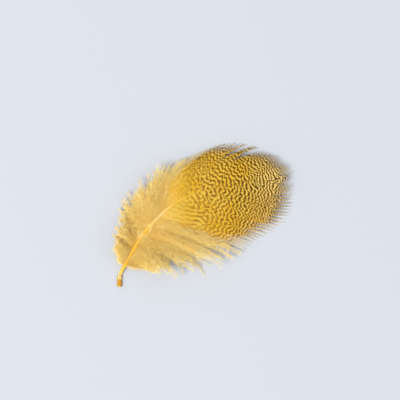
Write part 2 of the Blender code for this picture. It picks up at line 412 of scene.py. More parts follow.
bars = grow_bars()
print("bars grid:", bars.shape, "dark share:", round(float((bars > 0).mean()), 2))

# %% The bars at a place on the feather
PITCH_AT_FOCUS, PITCH_LOSS = 1.62, 0.0228  # mm, and mm less for each mm away from the focus
FURTHEST = 50  # mm from the focus, beyond which the pitch stays as it is


def bars_at(points):
    """Bar values at points of any shape.

    The pitch shrinks away from the focus, so a point at distance r reads the grid at the distance
    pitch / loss * log(start / (start - loss r)), which is the integral of pitch / (start - loss r).
    Between cells the value is weighted by the distances from the four round it.
    """
    offset = points[..., :2] - BAR_FOCUS
    r = np.maximum(np.linalg.norm(offset, axis=-1, keepdims=True), 1e-6)
    pitch = PITCH_AT_FOCUS - PITCH_LOSS * np.minimum(r, FURTHEST)
    stretched = BAR_PITCH / PITCH_LOSS * np.log(PITCH_AT_FOCUS / pitch)
    spot = BAR_FOCUS + offset * stretched / r
    x = np.clip((spot[..., 0] - BAR_AREA[0]) / BAR_CELL, 0, bars.shape[0] - 1.001)
    y = np.clip((spot[..., 1] - BAR_AREA[2]) / BAR_CELL, 0, bars.shape[1] - 1.001)
    i, j = x.astype(int), y.astype(int)
    f, g = x - i, y - j
    near = bars[i, j] * (1 - f) + bars[i + 1, j] * f
    far = bars[i, j + 1] * (1 - f) + bars[i + 1, j + 1] * f
    return near * (1 - g) + far * g


print("bars 10 and 11 mm from their focus:", bars_at(BAR_FOCUS + np.array([[10, 0], [11, 0]])).round(2))

# %% [markdown]
# A vane is a row of barbs, here 120 a side, each a flat ribbon that overlaps the next like a slate, so
# that the web closes. Towards the margin the hooks give up: the ribbons narrow, part company and gather in
# small groups, and in a few places the web has split further in. Each barb first gets its own numbers,
# drawn by chance from a fixed seed, so that the feather comes out the same each time.

# %% What sets barbs apart
VANE_BARBS = 120
VANE_START, VANE_END = {1: 0.37, -1: 0.34}, 0.94
TIP_TURN = (0.7, 0.85)  # shares of the shaft between which the vanes close round its tip
BARB_GAPS = [(0.3, 1.0), (0.55, 1.0), (0.75, 1.5), (0.94, 4.4)]  # share of the shaft, and relative gap
UNHOOKED = {  # shares of the shaft, and the millimetres of the barbs there that have come unhooked
    1: ([0.37, 0.42, 0.48, 0.55, 0.6, 0.7, 0.85, 0.94], [20.0, 12.0, 6.0, 8.0, 8.0, 7.5, 7.5, 7.0]),
    -1: ([0.34, 0.37, 0.43, 0.46, 0.5, 0.6, 0.85, 0.94], [20.0, 11.0, 8.0, 10.0, 10.0, 7.0, 7.0, 7.0]),
}
SPLITS = {  # share of the shaft, share of the barb where the split opens, and how far its sides move apart
    1: [(0.575, 0.42, 0.0045), (0.625, 0.38, 0.0045)],
    -1: [(0.581, 0.6, 0.004), (0.763, 0.55, 0.004)],
}
GROUP_WIDTHS = (0.9, 1.7)  # mm along the margin
STRETCHED = 0.09, 0.14  # how much longer some barbs of the right margin are at most, and how that scatters
WORN_BY_CHANCE, WORN_AT_TIP = (0.0, 3.2, 0.58, 0.75), (0.0, 1.9, 0.8, 0.92)  # mm, by share of the shaft


class Barbs:
    """The barbs of one side: where each leaves the shaft, and what sets it apart from its neighbours."""

    def __init__(self, side, share, group_widths, random):
        count = len(share)
        self.side = side
        self.share = share
        self.tone = random.random(count)
        self.length = 1 - 0.04 * random.random(count) ** 2
        self.wave = random.uniform(0, 2 * np.pi, count)
        tips = barb_points(side, share, 1.0)
        gone = np.concatenate([[0], np.cumsum(np.linalg.norm(np.diff(tips, axis=0), axis=1))])
        group = np.searchsorted(np.cumsum(random.uniform(*group_widths, count)), gone, side="right")
        group = np.unique(group, return_inverse=True)[1]
        total = np.bincount(group)
        self.centre = (np.bincount(group, share) / total)[group]
        self.pull = random.uniform(0.6, 0.95, len(total))[group] * ramp((1.0, 0.1, *TIP_TURN), share)

    def chosen(self, mask):
        """The same barbs, but only those where the mask is true."""
        part = copy.copy(self)
        for key, value in vars(self).items():
            if isinstance(value, np.ndarray):
                setattr(part, key, value[mask])
        return part


def zigzags(count, random):
    """Two series that climb and fall in short runs of barbs, less their own running means."""
    series = []
    for _ in range(2):
        turns = np.searchsorted(np.cumsum(random.integers(2, 6, count)), np.arange(count), side="right")
        climb = np.cumsum(np.where(turns % 2, 1, -1) * random.uniform(0.1, 0.3, count))
        level = np.convolve(np.pad(climb, 6, mode="edge"), np.full(13, 1 / 13), mode="valid")
        series.append(climb - level + random.normal(0, 0.1, count))
    return series


def barb_shares(side):
    """Where one vane's barbs leave the shaft. Their number up to a share is the integral of 1 / gap."""
    at = np.linspace(VANE_START[side], VANE_END, 2000)
    number = np.cumsum(1 / np.interp(at, *zip(*BARB_GAPS)))
    return np.interp(np.linspace(number[0], number[-1], VANE_BARBS), number, at)


def vane_roots(side):
    """One vane's barbs, further apart towards the tip. The web of each ends where its hooks give up."""
    random = np.random.default_rng(SEED + side)
    share = barb_shares(side)
    barbs = Barbs(side, share, GROUP_WIDTHS, random)
    if side < 0:
        most, scatter = STRETCHED
        stretched = most - scatter * random.random(VANE_BARBS) ** 2
        barbs.length *= 1 + stretched * smoothstep(0.44, 0.54, share) * smoothstep(0.82, 0.66, share)
    reach = np.linalg.norm(barb_points(side, share, 1.0) - barb_points(side, share, 0.0), axis=-1)
    worn = random.random(VANE_BARBS) * ramp(WORN_BY_CHANCE, share) + ramp(WORN_AT_TIP, share)
    barbs.length -= np.minimum(worn / reach, 0.6)
    loose_part = np.interp(share, *UNHOOKED[side]) * random.uniform(0.85, 1.15, VANE_BARBS) / reach
    barbs.web_end = np.clip(1 - loose_part, ramp((0.2, 0.02, *TIP_TURN), share), 0.92)
    for place, opens, _ in SPLITS[side]:
        near = np.exp(-np.abs(share - place) / 0.012)
        barbs.web_end = np.minimum(barbs.web_end, opens + (1 - near) * 1.2)
    barbs.slips = zigzags(VANE_BARBS, random)
    return barbs


vane_barbs = {side: vane_roots(side) for side in SIDES}
for side, barbs in vane_barbs.items():
    print(f"the web takes up to {100 * barbs.web_end.max():.0f} % of a {SIDES[side]} barb")

# %% [markdown]
# Loose barbs don't keep to their places. A barb is moved sideways by reading the barb function at a
# slightly different root, so a moved barb still follows the vane's curve, and none can cross the shaft.

# %% How loose barbs part
GATHERED = {1: (0.575, 0.625, 0.612, 0.55)}  # from, to, towards, and how far the tips between have moved
GATHERED_FAN = (0.016, 0.022)  # how far the barbs below them fan out, and over what share of the shaft
WAVE_SHARE = 0.0012


def looseness(barbs, along):
    """0 in the web, rising in a straight line to 1 at a barb's tip."""
    return np.clip((along - barbs.web_end[:, None]) / (1 - barbs.web_end[:, None]), 0, 1)


def vane_points(barbs, along):
    """Points at the given shares of each barb's length, with shape (barb, position, 3)."""
    share = barbs.share[:, None] + 0 * along
    loose = smoothstep(0, 1, looseness(barbs, along))
    shift = (barbs.centre[:, None] - share) * barbs.pull[:, None] * loose
    for place, opens, gap in SPLITS[barbs.side]:
        away = np.sign(share - place) * np.exp(-np.abs(share - place) / 0.02)
        opened = 0.4 * smoothstep(opens, opens + 0.15, along) + 0.6 * smoothstep(opens, 1.0, along)
        shift = shift + gap * away * opened
    if barbs.side in GATHERED:
        low, high, towards, moved = GATHERED[barbs.side]
        inside = (share > low) & (share < high)
        fan = (share <= low) * GATHERED_FAN[0] * np.exp((share - low) / GATHERED_FAN[1])
        shift = shift + (inside * moved * (towards - share) + fan) * smoothstep(0.4, 1.0, along)
    shift = shift + WAVE_SHARE * loose * np.sin(7 * along + barbs.wave[:, None])
    return barb_points(barbs.side, share + shift, along * barbs.length[:, None])


def neighbour_step(points):
    """From each barb to the next, as half the step between the barbs on both sides of it."""
    return np.gradient(points, axis=0)


gaps = np.diff(vane_points(vane_barbs[1], np.ones((VANE_BARBS, 1)))[:, 0], axis=0)
print("widest gap between tips at the left:", np.linalg.norm(gaps, axis=1).max().round(1), "mm")

# %% [markdown]
# Bars, pale loose ends and tone are measured on the barbs and carried to the finish as one number a point;
# the pale ends are partly their own colour and partly painted light against the shade they lie in.
# They change over the feather as in the photo, so most places are told as millimetres across the picture.

# %% What the finish reads on a vane
# Changes as (first, last, from, to), with places in mm to the right of the quill's end in the photo
BARS_RISE = (0.0, 1.0, 11.0, 31.0)
BARS_DARKEN = (0.8, 1.0, 32.0, 44.0)
BARS_SHARPEN = (0.55, 1.15, 30.0, 46.0)
BARS_SLIP = (1.9, 1.0, 24.0, 38.0)
BROWN_STAIN = (0.0, 0.12, 12.0, 24.0)
DULL_BASE, DULL_TIP = (0.3, 0.0, 6.0, 24.0), (0.0, 0.24, 40.0, 58.0)
# Here the places are mm to the right, plus mm upward times the number given
BARS_AT_TOP, UPWARD = (0.66, 1.0, 48.0, 76.0), 1.1
# And here shares of the shaft
BARS_FADE = {1: (1.0, 0.2, 0.46, 0.5), -1: (1.0, 0.2, 0.46, 0.65)}
# pale loose ends: partly their own colour, partly painted light against the shade near the floor
LOOSE_PALE_AND_PAINTED_LIGHT = {1: (0.9, 0.4, 0.46, 0.6), -1: (0.9, 0.4, 0.46, 0.76)}
BAR_LEVEL = 0.45  # above one half, bars grow wider than the dye between them


def vane_values(barbs, points, along):
    """What the finish reads on a vane: bar, pale and tone.

    A point reads the bars a little further along its barb, by a slip of its own for each barb, so that they
    step from barb to barb. Bars fade and the dye turns pale where barbs are loose, partly their own colour
    and partly painted light over the shade there.
    """
    share = barbs.share[:, None]
    right = points @ PHOTO_RIGHT
    loose = looseness(barbs, along)
    blend = np.sin(2.2 * np.pi * along + 0.15 * np.arange(len(share))[:, None]) ** 2
    slip = barbs.slips[0][:, None] * blend + barbs.slips[1][:, None] * (1 - blend)
    slip *= ramp(BARS_SLIP, right)
    slipped = points + slip[..., None] * unit(np.gradient(points, axis=1))
    strength = ramp(BARS_RISE, right) * (1 - ramp(BARS_FADE[barbs.side], share) * smoothstep(0, 1, loose))
    strength *= ramp(BARS_DARKEN, right) * ramp(BARS_AT_TOP, right + UPWARD * (points @ PHOTO_UP))
    stain = ramp(BROWN_STAIN, right) * (1 - loose)
    bar = np.clip(BAR_LEVEL + ramp(BARS_SHARPEN, right) * bars_at(slipped), 0, 1)
    bar = bar * strength + stain * (1 - strength)
    dull = ramp(DULL_BASE, right) + ramp(DULL_TIP, right)
    pale = np.maximum(ramp(LOOSE_PALE_AND_PAINTED_LIGHT[barbs.side], share) * loose, dull)
    return {"bar": bar, "pale": pale, "tone": 0.3 + 0.65 * barbs.tone}


halfway = np.tile([0.5, 0.6], (VANE_BARBS, 1))
values = vane_values(vane_barbs[1], vane_points(vane_barbs[1], halfway), halfway)
print("mean bar value halfway along the left barbs:", values["bar"].mean().round(2))

# %% [markdown]
# A ribbon is a sixth wider than the gap to the next barb, and tilted, so that its edge lies over its
# neighbour. Where barbs are loose the ribbons narrow, since wide ones would hide how the margin parts.

# %% Ribbons of the vanes
VANE_RINGS = 100
COVER = (0.22, 0.58)  # half width over the gap, before and after the web closes
CLOSING = (-0.03, 0.06)  # where it closes, as shares of the shaft past the vane's start
WIDEST = 0.34  # mm, half a width
LOOSE_WIDTH, LOOSE_COVER = 0.1, 0.25  # half a loose ribbon's width: at most in mm, and over the gap
SLATE_TILT = 0.16
BARB_THICKNESS = (0.045, 0.017)  # half of it, at the root and at the tip


def vane_mesh(side, name):
    """All barbs of one vane as flat ribbons, each tilted like a slate over the next."""
    barbs = vane_barbs[side]
    along = np.tile(np.linspace(0, 1, VANE_RINGS), (VANE_BARBS, 1))
    paths = vane_points(barbs, along)
    step = neighbour_step(paths)
    spacing = np.linalg.norm(step, axis=-1)
    _, across, up = strand_frame(paths, step)
    across = unit(across + SLATE_TILT * up)
    loose = looseness(barbs, along)
    closing = [VANE_START[side] + extra for extra in CLOSING]
    half_width = np.minimum(ramp((*COVER, *closing), barbs.share)[:, None] * spacing, WIDEST)
    half_width += (np.minimum(LOOSE_WIDTH, LOOSE_COVER * spacing) - half_width) * smoothstep(0, 0.45, loose)
    half_width *= ramp((1.0, 0.4, 0.5, 1.0), loose)
    if side < 0:
        half_width *= 1 - 0.45 * loose * smoothstep(0.8, 0.62, barbs.share)[:, None]
    thick, thin = BARB_THICKNESS
    stay_above(0.07, paths)
    corners = strand_corners(paths, across, up, half_width, thick + (thin - thick) * along, 4)
    flat_map = flat_places(VANE_BARBS, np.array([0.95, 0.5, 0.05, 0.5]), along[..., None])
    faces = strand_faces(VANE_BARBS, VANE_RINGS, 4)
    return make_piece(name, corners, faces, vane_values(barbs, paths, along), flat_map)


vanes = both_sides(vane_mesh, "vane")

# %% [markdown]
# Where the barbs part, their barbules show: a fine comb on both edges of each barb, leaning forward. They
# are far too many for tubes, so each is the simplest pointed strand, a slim pyramid with three sides.

# %% The comb of barbules along the margins
COMB_TEETH = 72  # on each edge of a barb, from the end of its web to its tip
COMB_LENGTH = 0.42
COMB_SHORTER = (1.0, 0.4, 0.68, 0.86)  # by share of the shaft
COMB_FOOT = (0.0242, 0.0132)  # where the web ends, and at the tip
COMB_LEAN, COMB_LEAN_SCATTER = 42, 8  # degrees


def comb_mesh(side, name):
    """The barbules of one vane's margin. Each leans forward by about 40 degrees from its barb."""
    barbs = vane_barbs[side]
    random = np.random.default_rng(SEED + 20 + side)
    steps = np.linspace(0, 1, COMB_TEETH)[None, :]
    begins = barbs.web_end[:, None] - 0.04
    along = begins + (0.985 - begins) * steps
    paths = vane_points(barbs, along)
    step = neighbour_step(paths)
    forward, across, up = strand_frame(paths, step)
    crowding = np.clip(np.linalg.norm(step, axis=-1) / 0.7, 0.1, 1)
    stay_above(0.08, paths)
    most = COMB_LENGTH * ramp(COMB_SHORTER, barbs.share)[:, None] * crowding * (1 - 0.6 * along**3)
    first, last = COMB_FOOT
    foot = first + (last - first) * steps + 0 * along
    parts = []
    for edge in (1, -1):
        lean = np.radians(random.normal(COMB_LEAN, COMB_LEAN_SCATTER, along.shape))
        sag = random.normal(0, 0.12, along.shape)[..., None]
        direction = unit(turned(lean, forward, edge * across) + sag * up)
        length = (most * random.uniform(0.75, 1.2, along.shape))[..., None]
        tooth = np.stack([paths, paths + direction * length], -2)
        parts.append(pointed_corners(tooth, direction, across, foot[..., None]))
    corners = np.stack(parts, 2)
    stay_above(0.03, corners)
    columns = np.array([0.5, 0.4, 0.45, 0.95, 0.5, 0.6, 0.55, 0.05])
    rows = np.clip(along[..., None] + np.array([0.0, 0.002, 0.004, 0.012] * 2), 0, 1)
    flat_map = flat_places(VANE_BARBS, columns, rows)
    faces = strand_faces(2 * along.size, 1, 3, pointed=True)
    return make_piece(name, corners, faces, vane_values(barbs, paths, along), flat_map)


combs = both_sides(comb_mesh, "comb")

# %% [markdown]
# Down is the same barb without hooks: thin, wavy, and furred on all sides with long soft barbules. Its look
# is a haze, made of enough hairs that no single one matters. The barbs fill the space of the solid's locks,
# which lie in three layers, and each carries barbules of its own.

# %% Barbs of the down
DOWN_BARBS = 96
DOWN_RINGS = 40
DOWN_START, DOWN_END = 0.106, {1: 0.405, -1: 0.352}
DOWN_RADIUS = (0.056, 0.0105)  # at the root and at the tip
LIFT_LOW = np.array([-1.2, -1.8])  # height added halfway along and at the tip, in the lowest layer
LIFT_HIGH = np.array([5.2, 6.0])  # and in the highest
WAVE_SHIFT, RIPPLE_SHIFT = 0.004, 0.0015  # sideways, as shares of the shaft
WAVE_HEIGHT, RIPPLE_HEIGHT = 0.35, 0.12
RIPPLES = 4.3  # on one barb


def down_roots(side):
    """One side's downy barbs, whose heights roll between the solid's lowest and highest locks."""
    random = np.random.default_rng(SEED + 40 + side)
    share = np.linspace(DOWN_START, DOWN_END[side], DOWN_BARBS)
    share = share + random.uniform(-0.4, 0.4, DOWN_BARBS) * (share[1] - share[0])
    barbs = Barbs(side, share, (1.0, 2.6), random)
    place = (share - DOWN_START) / (DOWN_END[side] - 0.02 - DOWN_START)
    barbs.calm = np.clip(np.minimum(2.0 * (1.11 - place), 4.5 * place + 0.25), 0.12, 1.0)
    hills = np.convolve(random.standard_normal(DOWN_BARBS + 24), np.hanning(25), mode="valid")
    hills += random.normal(0, 0.6, DOWN_BARBS) + 1.2 * smoothstep(0.2, 0.0, place)
    layer = np.argsort(np.argsort(hills))[:, None] / (DOWN_BARBS - 1)
    barbs.lift = (LIFT_LOW + (LIFT_HIGH - LIFT_LOW) * layer) * barbs.calm[:, None]
    barbs.length = random.uniform(0.62, 1.0, DOWN_BARBS)
    barbs.swing = random.normal(0, 0.005, DOWN_BARBS)
    barbs.waves = random.uniform(0.8, 1.9, DOWN_BARBS)
    return barbs


def down_points(barbs, along):
    """Points along the downy barbs: the plain barb curve, swung and waved more and more towards the tip."""
    wave = np.sin(2 * np.pi * barbs.waves[:, None] * along + barbs.wave[:, None])
    ripple = np.sin(2 * np.pi * RIPPLES * along + 2 * barbs.wave[:, None])
    shift = along * (barbs.swing[:, None] + WAVE_SHIFT * wave + RIPPLE_SHIFT * ripple)
    share = np.clip(barbs.share[:, None] + shift, 0.1, 0.5)
    bend_lift, tip_lift = (column[:, None] + 0 * along for column in barbs.lift.T)
    points = barb_points(barbs.side, share, along * barbs.length[:, None], bend_lift, tip_lift)
    points[..., 2] += (WAVE_HEIGHT * wave + RIPPLE_HEIGHT * ripple) * along * barbs.calm[:, None]
    stay_above(0.12, points)
    return points


def down_barb_mesh(side, name):
    """The downy barbs of one side as three-cornered tubes that taper to the tip."""
    barbs = down_barbs[side]
    along = np.tile(np.linspace(0, 1, DOWN_RINGS), (DOWN_BARBS, 1))
    paths = down_points(barbs, along)
    _, across, up = strand_frame(paths, neighbour_step(paths))
    thick, thin = DOWN_RADIUS
    radius = thick + (thin - thick) * along
    corners = strand_corners(paths, across, up, 1.3 * radius, radius, 3)
    flat_map = flat_places(DOWN_BARBS, np.array([0.6, 0.5, 0.4]), along[..., None])
    faces = strand_faces(DOWN_BARBS, DOWN_RINGS, 3)
    return make_piece(name, corners, faces, {"pale": along, "tone": barbs.tone}, flat_map)


down_barbs = {side: down_roots(side) for side in SIDES}
down_tubes = both_sides(down_barb_mesh, "down_barbs")

# %% [markdown]
# The barbules of the down are of two kinds: long ones with a bend, which give the loose haze at the edge,
# and short straight ones that fill the space between. Both leave their barb all round it, at any angle. The
# first barbs of the vanes carry some as well, because there the web is only beginning.

# %% Barbules of the down
LONG_HAIRS, SHORT_HAIRS, VANE_HAIRS = 104, 350, 90  # on each barb
HAIR_LENGTH, SHORT_LENGTH, VANE_HAIR_LENGTH = 2.5, 1.875, 1.0
HAIR_RADIUS, HAIR_WAIST = 0.034, 0.7  # at the foot, and as a share of that at the bend


def hair_batch(barbs, points_at, per_barb, length, bent, random):
    """Corners, faces, values and flat map of the hairs on some barbs.

    A hair leaves at 15 to 140 degrees from its barb's direction, on either side of it and up to a right
    angle above or below, and its second half turns on by chance.
    """
    shape = (len(barbs.share), per_barb)
    along = np.clip((np.arange(per_barb) + random.random(shape)) / per_barb, 0.02, 1)
    along = np.sort(along ** (0.85 if bent else 1.25), axis=1)
    paths = points_at(barbs, along)
    forward, across, up = strand_frame(paths, neighbour_step(paths))
    turn = np.where(random.random(shape) < 0.5, 0, np.pi) + random.normal(0, 0.8, shape)
    lean = np.radians(random.uniform(15, 140, shape))
    first = unit(turned(lean, forward, turned(turn, across, up)))
    second = unit(first + random.normal(0, 0.7, (*shape, 3)) + 0.15 * forward)
    length = length * (0.6 + 0.8 * along - 1.1 * along**3) * random.uniform(0.5, 1.3, shape)
    radius = HAIR_RADIUS * random.uniform(0.75, 1.25, shape)
    sideways = unit(np.cross(first, up + 0.01 * across))
    step = length[..., None] * (0.5 if bent else 1.0)
    stops = [paths, paths + first * step]
    if bent:
        stops.append(stops[1] + second * step)
    radius = radius[..., None] * np.array([1.0, HAIR_WAIST][: len(stops) - 1])
    corners = pointed_corners(np.stack(stops, -2), first, sideways, radius).reshape(-1, 3)
    faces = turned_outward(corners, strand_faces(along.size, len(stops) - 1, 3, pointed=True))
    stay_above(0.03, corners)
    tone = 0.15 * barbs.tone[:, None] + 0.85 * random.random(shape)
    pale = np.clip(0.25 + 0.5 * along + random.normal(0, 0.25, shape), 0, 1)
    size = len(corners) // along.size
    place = np.arange(size) / size
    rows = np.clip(along[..., None] + 0.004 * np.sin(7 * place), 0, 1)
    return corners, faces, {"pale": pale, "tone": tone}, flat_places(shape[0], 0.1 + 0.8 * place, rows)


def joined(batches):
    """Several batches as one, with the later ones' corner numbers moved up."""
    faces, first = [], 0
    for corners, some, _, _ in batches:
        faces += [group + first for group in some]
        first += len(corners)
    values = {key: [spread(batch[2][key], batch[0]) for batch in batches] for key in batches[0][2]}
    values = {key: np.concatenate(some) for key, some in values.items()}
    corners, flat_map = (np.concatenate([batch[k] for batch in batches]) for k in (0, 3))
    return corners, faces, values, flat_map


print("hairs on each side:", DOWN_BARBS * LONG_HAIRS, "long,", DOWN_BARBS * SHORT_HAIRS, "short")

# %% [markdown]
# Here and there barbules cling together in a thread that curls on its own, and these threads are what the
# eye follows in real down. Most leave a downy barb, and a few start beside the shaft and lie over it.

# %% Threads in the down
THREADS, CROSSING_THREADS = 12, 26  # on each barb, and over the shaft from each side
CROSSING = (0.27, 0.045, 0.16, 0.4)  # shares of the shaft: their middle, its scatter, first and last
THREAD_RINGS = 8
THREAD_RADIUS = 0.065
THREAD_LENGTH, CROSSING_LENGTH = (1.5, 4.2), (2.0, 4.2)


def thread_batch(roots, ahead, aside, length, random):
    """Corners, faces, values and flat map of curling threads that leave some roots in given directions.

    A thread keeps turning as it goes: at the distance s from its root, its heading has turned by
    rate * s + sin(phase + 2 s) / 2, and its path is the sum of the small steps along that heading.
    """
    shape = length.shape
    length = length[..., None]
    t = np.linspace(0, 1, THREAD_RINGS)
    phase = random.uniform(0, 2 * np.pi, shape)[..., None]
    heading = random.normal(0, 0.55, shape)[..., None] * length * t + 0.5 * np.sin(phase + 2 * length * t)
    step = turned(heading, ahead[..., None, :], aside[..., None, :])
    paths = roots[..., None, :] + (np.cumsum(step, axis=-2) - step) * length[..., None] / THREAD_RINGS
    paths = paths.reshape(-1, THREAD_RINGS, 3)
    stay_above(0.12, paths)
    count = len(paths)
    _, sideways, upward = strand_frame(paths, np.repeat(aside.reshape(-1, 1, 3), THREAD_RINGS, axis=1))
    radius = THREAD_RADIUS * (1.15 - 0.85 * t) * random.uniform(0.7, 1.2, (count, 1))
    corners = strand_corners(paths, sideways, upward, radius, radius, 3).reshape(-1, 3)
    faces = turned_outward(corners, strand_faces(count, THREAD_RINGS, 3))
    light = random.random(count) > 0.25
    tone = np.where(light, random.uniform(0.65, 1.0, count), random.uniform(0.0, 0.4, count))
    flat_map = flat_places(count, np.array([0.8, 0.5, 0.2]), t[None, :, None])
    return corners, faces, {"pale": np.where(light, 0.8, 0.0), "tone": tone}, flat_map


def threads_on_down(barbs, random):
    """Threads on the downy barbs of one side, leaving each at up to 120 degrees from its direction."""
    shape = (len(barbs.share), THREADS)
    along = np.sort(random.uniform(0.05, 1, shape), axis=1)
    roots = down_points(barbs, along)
    forward, across, up = strand_frame(roots, neighbour_step(roots))
    lean = np.radians(random.uniform(-120, 120, shape))
    climb = random.normal(0.05, 0.25, shape)[..., None]
    ahead = unit(turned(lean, forward, across) + climb * up)
    length = random.uniform(*THREAD_LENGTH, shape)
    return thread_batch(roots, ahead, unit(np.cross(up, ahead)), length, random)


def threads_over_shaft(side, random):
    """Threads that start beside the shaft, a little above it, and cross to its other side."""
    count = CROSSING_THREADS
    centre, scatter, first, last = CROSSING
    share = np.clip(random.normal(centre, scatter, count), first, last)
    middle, forward, left = shaft_frame(share)
    radius = shaft_radius(share)
    rise = radius * random.uniform(0.9, 1.5, count)
    reach = side * (radius + random.uniform(0, 1.4, count))
    roots = middle + reach[:, None] * left + rise[:, None] * UP
    lean = np.radians(random.uniform(20, 100, count))
    ahead = unit(turned(lean, forward, -side * left))
    return thread_batch(roots, ahead, np.cross(UP, ahead), random.uniform(*CROSSING_LENGTH, count), random)


def curls_mesh(side, name):
    """The long bent barbules of one side, and its threads."""
    random = np.random.default_rng(SEED + 60 + side)
    hairs = hair_batch(down_barbs[side], down_points, LONG_HAIRS, HAIR_LENGTH, True, random)
    threads = threads_on_down(down_barbs[side], random)
    return make_piece(name, *joined([hairs, threads, threads_over_shaft(side, random)]))


curls = both_sides(curls_mesh, "curls")

# %% Short barbules that fill the down
VANE_FLUFF_END = {1: 0.46, -1: 0.4}  # share of the shaft


def fluff_mesh(side, name):
    """The short straight barbules of one side, on its down and on the first barbs of its vane."""
    random = np.random.default_rng(SEED + 70 + side)
    vane = vane_barbs[side]
    first_of_vane = vane.chosen(vane.share < VANE_FLUFF_END[side])
    on_down = hair_batch(down_barbs[side], down_points, SHORT_HAIRS, SHORT_LENGTH, False, random)
    on_vane = hair_batch(first_of_vane, vane_points, VANE_HAIRS, VANE_HAIR_LENGTH, False, random)
    return make_piece(name, *joined([on_down, on_vane]))


fluff = both_sides(fluff_mesh, "fluff")

# %% [markdown]
# The shaft is one tube turned from the same table of radii, rounder than the solid's eight sides. Its first
# rings run back into the quill, which closes the little pit at the plucked end without a seam.

# %% Shaft and quill
SHAFT_RINGS = 220
SHAFT_CORNERS = 16
SHAFT_END = 0.955  # share of its line, where the last barbs hide its point
PIT_RADIUS, PIT_DEPTH = 0.34, 1.4
THINNER, THINNER_STILL = (0.0, 0.35, 0.42, 0.6), (0.0, 0.4, 0.65, 0.9)  # by share of the shaft
COLLAR = (1.0, 0.0, 0.034, 0.05)
COLLAR_WAVE = 0.03


def shaft_mesh(name):
    """The shaft: rings of radius r(share) along its line, and a pit that runs in at the plucked end."""
    share = SHAFT_END * np.linspace(0, 1, SHAFT_RINGS) ** 1.4
    radius = shaft_radius(share) * (1 - ramp(THINNER, share) - ramp(THINNER_STILL, share))
    radius = radius + COLLAR_WAVE * ramp(COLLAR, share) * np.sin(220 * share)
    share = np.concatenate([np.array([PIT_DEPTH, PIT_DEPTH, 0.0]) / SHAFT_LENGTH, share])
    radius = np.concatenate([[0.06, PIT_RADIUS, PIT_RADIUS], radius])
    middle, _, left = shaft_frame(share)
    corners = strand_corners(middle, left, UP, radius, radius, SHAFT_CORNERS)
    stay_above(0.0, corners)
    bar = np.clip(0.46 + 0.6 * bars_at(middle), 0, 1) * smoothstep(0.5, 0.66, share)
    flat_map = flat_places(1, np.arange(SHAFT_CORNERS) / SHAFT_CORNERS, share[:, None])
    faces = strand_faces(1, len(share), SHAFT_CORNERS)
    return make_piece(name, corners, faces, {"along": share, "bar": bar}, flat_map, smooth=True)


shaft = shaft_mesh("shaft")

# %% [markdown]
# At the plucked end the sheath that the feather grew in has dried to a few pale flakes. Each is a short
# wide strand that lifts off the collar.

# %% Flakes of dry sheath
FLAKE_TURNS = np.radians([20.0, 75.0, 118.0, 160.0, 196.0, -24.0])  # round the collar, from its left
FLAKE_STARTS, FLAKE_LENGTHS, FLAKE_LIFTS = (0.022, 0.032), (0.7, 1.5), (0.15, 0.5)  # shares, mm, mm
FLAKE_RINGS = 7
FLAKE_WIDTH, FLAKE_THICKNESS = 0.26, 0.025  # half of each
COLLAR_RADIUS = 0.76


def flakes_mesh(name):
    """Flakes round the upper rim of the collar: each runs along it, and out by the square of its length."""
    random = np.random.default_rng(SEED + 80)
    count, turn = len(FLAKE_TURNS), FLAKE_TURNS[:, None]
    starts, lengths = (random.uniform(*span, (count, 1)) for span in (FLAKE_STARTS, FLAKE_LENGTHS))
    t = np.tile(np.linspace(0, 1, FLAKE_RINGS), (count, 1))
    middle, _, left = shaft_frame(starts + t * lengths / SHAFT_LENGTH)
    lift = COLLAR_RADIUS + random.uniform(*FLAKE_LIFTS, (count, 1)) * t**2
    paths = middle + lift[..., None] * turned(turn, left, UP)
    _, across, up = strand_frame(paths, turned(turn, UP, -left))
    half_width = FLAKE_WIDTH * (1 - 0.75 * t**2) * (1 + 0.2 * np.sin(9 * t + turn))
    corners = strand_corners(paths, across, up, half_width, FLAKE_THICKNESS + 0 * t, 4)
    stay_above(0.0, corners)
    flat_map = flat_places(count, np.array([0.9, 0.5, 0.1, 0.5]), t[..., None])
    return make_piece(name, corners, strand_faces(count, FLAKE_RINGS, 4), {"pale": t, "tone": t}, flat_map)


flakes = flakes_mesh("sheath_flakes")

# %% [markdown]
# One finish group serves every feathery part: dye never takes evenly, so colour drifts over a few
# millimetres and from barb to barb. Bars and the pale loose ends are laid over that. The shader itself
# stays in each material, where its steady numbers are set.

# %% Nodes that finishes share
COLOUR, NUMBER = "NodeSocketColor", "NodeSocketFloat"
FINISH_OUTPUTS = {"Color": COLOUR, "Roughness": NUMBER, "Height": NUMBER}
WHOLE = (0.0, 1.0)


def new_group(name, inputs, outputs):
    """An empty node group with named sockets, and its input and output nodes."""
    group = bpy.data.node_groups.new(name, "ShaderNodeTree")
    for way, sockets in (("INPUT", inputs), ("OUTPUT", outputs)):
        for socket, kind in sockets.items():
            group.interface.new_socket(name=socket, in_out=way, socket_type=kind)
    return group, group.nodes.new("NodeGroupInput").outputs, group.nodes.new("NodeGroupOutput").inputs


def blend_colours(tree, factor, first, second):
    """A Mix node for colours, linked up, and its result socket."""
    mix = tree.nodes.new("ShaderNodeMix")
    mix.data_type = "RGBA"
    for socket, value in ((mix.inputs[0], factor), (mix.inputs[6], first), (mix.inputs[7], second)):
        if isinstance(value, bpy.types.NodeSocket):
            tree.links.new(value, socket)
        else:
            socket.default_value = value
    return mix.outputs[2]


def ranged(tree, value, source, target):
    """A Map Range node that carries one range to another, and its result socket."""
    node = tree.nodes.new("ShaderNodeMapRange")
    for socket, number in zip(list(node.inputs)[1:5], (*source, *target)):
        socket.default_value = number
    tree.links.new(value, node.inputs[0])
    return node.outputs[0]


def shaded(tree, colour, factor):
    """A colour times a number, and its result socket."""
    node = tree.nodes.new("ShaderNodeVectorMath")
    node.operation = "SCALE"
    tree.links.new(colour, node.inputs[0])
    tree.links.new(factor, node.inputs["Scale"])
    return node.outputs[0]


